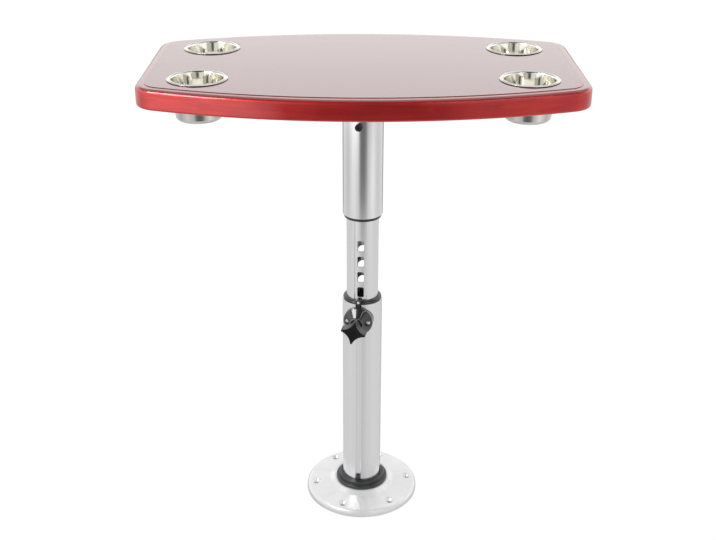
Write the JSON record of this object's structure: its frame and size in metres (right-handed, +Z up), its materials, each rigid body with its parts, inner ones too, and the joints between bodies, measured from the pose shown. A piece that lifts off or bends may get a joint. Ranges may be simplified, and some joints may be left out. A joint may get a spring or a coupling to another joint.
{
  "type": "telescoping pedestal table",
  "caption": "Bow-fronted table top with recessed cup holders on a flanged pedestal; a slotted mast slides in the post, held by a screw-in latch, and the top turns.",
  "frame": {"origin": "on the floor, on the pedestal's axis, under the middle of the top", "axes": "+Z up, +X along the top's long side, -Y the front where the height latch is"},
  "size_m": [0.5976, 0.368, 0.709],
  "materials": {
    "polished_aluminium": "turned and polished",
    "satin_aluminium": "satin anodised",
    "polished_steel": "polished stainless",
    "screw_steel": "plain stainless",
    "black_steel": "black",
    "brass": "plain",
    "black_bushing": "satin black nylon",
    "black_gloss": "glossy black",
    "black_knob": "fine-grained black",
    "pale_nylon": "natural nylon",
    "black_rubber": "matt",
    "plywood": "sealed plywood",
    "red_gloss": "high-gloss red"
  },
  "bodies": {
    "pedestal": {"base_flange": "polished_aluminium", "base_bushing": "black_bushing", "foot_plate": "satin_aluminium", "foot_screws": "screw_steel", "foot_bumper": "black_rubber", "lower_post": "satin_aluminium", "collar_guide": "black_bushing", "collar_rivet": "screw_steel", "latch_housing": "black_gloss", "latch_screws": "screw_steel", "latch_nut": "brass"},
    "latch_pin": {"locking_pin": "screw_steel"},
    "knob": {"latch_spindle": "screw_steel", "star_knob": "black_knob"},
    "mast": {"mast": "satin_aluminium", "mast_foot_guide": "black_bushing", "foot_guide_screws": "screw_steel", "mast_head": "black_bushing", "thrust_washer": "pale_nylon"},
    "table": {"upper_sleeve": "polished_aluminium", "lower_sleeve_bushing": "black_bushing", "upper_sleeve_bushing": "black_bushing", "swivel_screw": "black_steel", "top_bracket": "satin_aluminium", "socket_grub_screws": "black_steel", "bracket_screws": "screw_steel", "core_board": "plywood", "table_top": "red_gloss", "cup_front_left": "polished_steel", "cup_front_right": "polished_steel", "cup_rear_left": "polished_steel", "cup_rear_right": "polished_steel", "cup_gaskets": "black_rubber"}
  },
  "joints": [
    {"name": "height", "type": "slide", "parent": "pedestal", "child": "mast", "axis": [0, 0, 1], "range_m": [-0.125, 0.075]},
    {"name": "swivel", "type": "hinge", "parent": "mast", "child": "table", "pos_m": [0, 0, 0.665], "axis": [0, 0, 1], "continuous": true},
    {"name": "latch_travel", "type": "slide", "parent": "pedestal", "child": "latch_pin", "axis": [0.1994, 0.9799, 0], "range_m": [0, 0.0045]},
    {"name": "knob_turn", "type": "hinge", "parent": "latch_pin", "child": "knob", "pos_m": [-0.01196, -0.0588, 0.3185], "axis": [0.1994, 0.9799, 0], "range_deg": [0, 1080]}
  ],
  "couplings": [
    {"joint": "knob_turn", "follows": "latch_travel", "rad_per_m": 4188.8}
  ]
}
